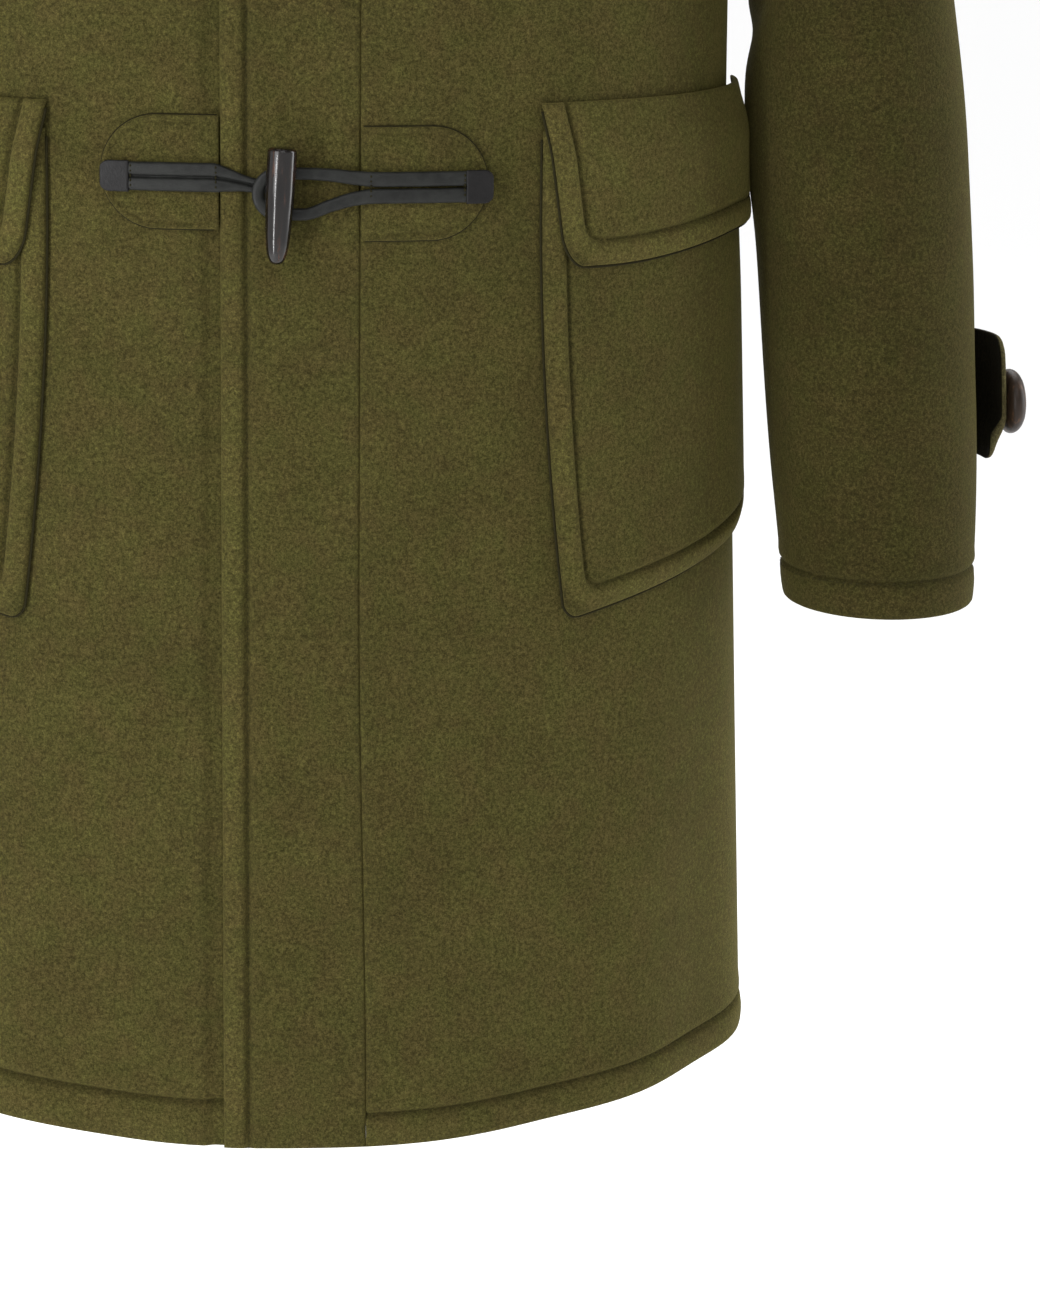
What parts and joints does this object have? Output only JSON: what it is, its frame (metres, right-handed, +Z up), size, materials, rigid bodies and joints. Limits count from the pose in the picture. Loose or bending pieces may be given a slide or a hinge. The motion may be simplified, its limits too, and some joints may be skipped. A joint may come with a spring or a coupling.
{
  "type": "duffle coat",
  "caption": "hooded duffle coat of heavy olive-green woollen cloth, filled out as if worn, with a front placket, horn toggles on leather straps, flapped patch pockets and buttoned cuff tabs",
  "frame": {"origin": "between the shoulders at the level of the points where the neck meets the shoulder seams, where the wearer's shoulders hold the coat up", "axes": "+Z is up, the front of the coat faces -Y, and +X points to the wearer's left"},
  "size_m": [0.7806, 0.3238, 1.2481],
  "materials": {
    "melton": "heavily milled olive-green woollen cloth with a short nap",
    "leather": "smooth dark leather with a soft sheen",
    "horn": "polished dark horn",
    "button": "satin dark brown"
  },
  "bodies": {
    "root": {"left_front": "melton", "right_front": "melton", "placket": "melton", "back": "melton", "left_sleeve": "melton", "right_sleeve": "melton", "hood_left": "melton", "hood_right": "melton", "left_pocket": "melton", "right_pocket": "melton", "left_flap": "melton", "right_flap": "melton", "patch_left_1": "melton", "patch_right_1": "melton", "patch_left_2": "melton", "patch_right_2": "melton", "patch_left_3": "melton", "patch_right_3": "melton", "left_cuff_tab": "melton", "right_cuff_tab": "melton", "left_cuff_button": "button", "right_cuff_button": "button", "toggle_strap_1": "leather", "toggle_strap_2": "leather", "toggle_strap_3": "leather", "loop_strap_1": "leather", "loop_strap_2": "leather", "loop_strap_3": "leather", "toggle_1": "horn", "toggle_2": "horn", "toggle_3": "horn"}
  },
  "joints": []
}
